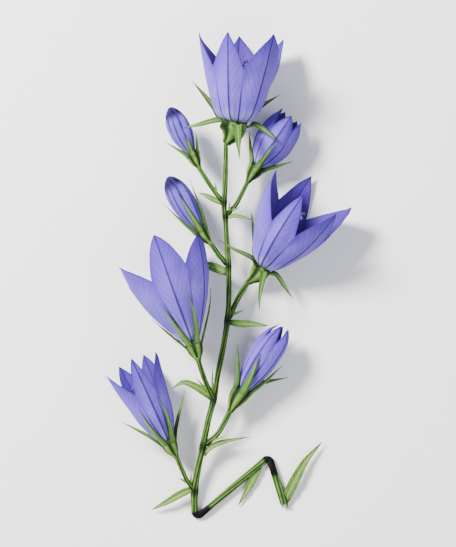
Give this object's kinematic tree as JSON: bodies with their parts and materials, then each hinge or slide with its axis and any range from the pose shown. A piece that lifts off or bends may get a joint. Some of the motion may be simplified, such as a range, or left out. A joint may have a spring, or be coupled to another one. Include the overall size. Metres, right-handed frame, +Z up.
{
  "type": "campanula flower stem",
  "caption": "Cut raceme of bellflowers lying flat: open and half-open bells, buds, narrow sepals and bracts on a slender stem whose foot is folded to and fro.",
  "frame": {"origin": "middle of the outline as seen from above, on the surface that the stem lies on", "axes": "+Y along the stem towards its top flower, +X to the right as seen from above, +Z up from the surface"},
  "size_m": [0.061, 0.1214, 0.0226],
  "materials": {
    "green": "soft green stem, calyx and leaf with a satin skin",
    "lilac": "thin lilac-blue petal with darker veins",
    "pale": "pale velvety style and stigma",
    "cream": "cream filaments, anthers and nectar disc"
  },
  "bodies": {
    "root": {"leafy_stem": "green", "top_flower_calyx": "green", "top_flower_corolla": "lilac", "upper_left_bud_calyx": "green", "upper_left_bud_corolla": "lilac", "upper_right_flower_calyx": "green", "upper_right_flower_corolla": "lilac", "left_bud_calyx": "green", "left_bud_corolla": "lilac", "right_flower_calyx": "green", "right_flower_corolla": "lilac", "left_flower_calyx": "green", "left_flower_corolla": "lilac", "lower_right_bud_calyx": "green", "lower_right_bud_corolla": "lilac", "lower_left_flower_calyx": "green", "lower_left_flower_corolla": "lilac", "top_flower_style": "pale", "top_flower_stamens": "cream", "right_flower_style": "pale", "right_flower_stamens": "cream", "left_flower_style": "pale", "left_flower_stamens": "cream", "lower_left_flower_style": "pale", "lower_left_flower_stamens": "cream"}
  },
  "joints": []
}
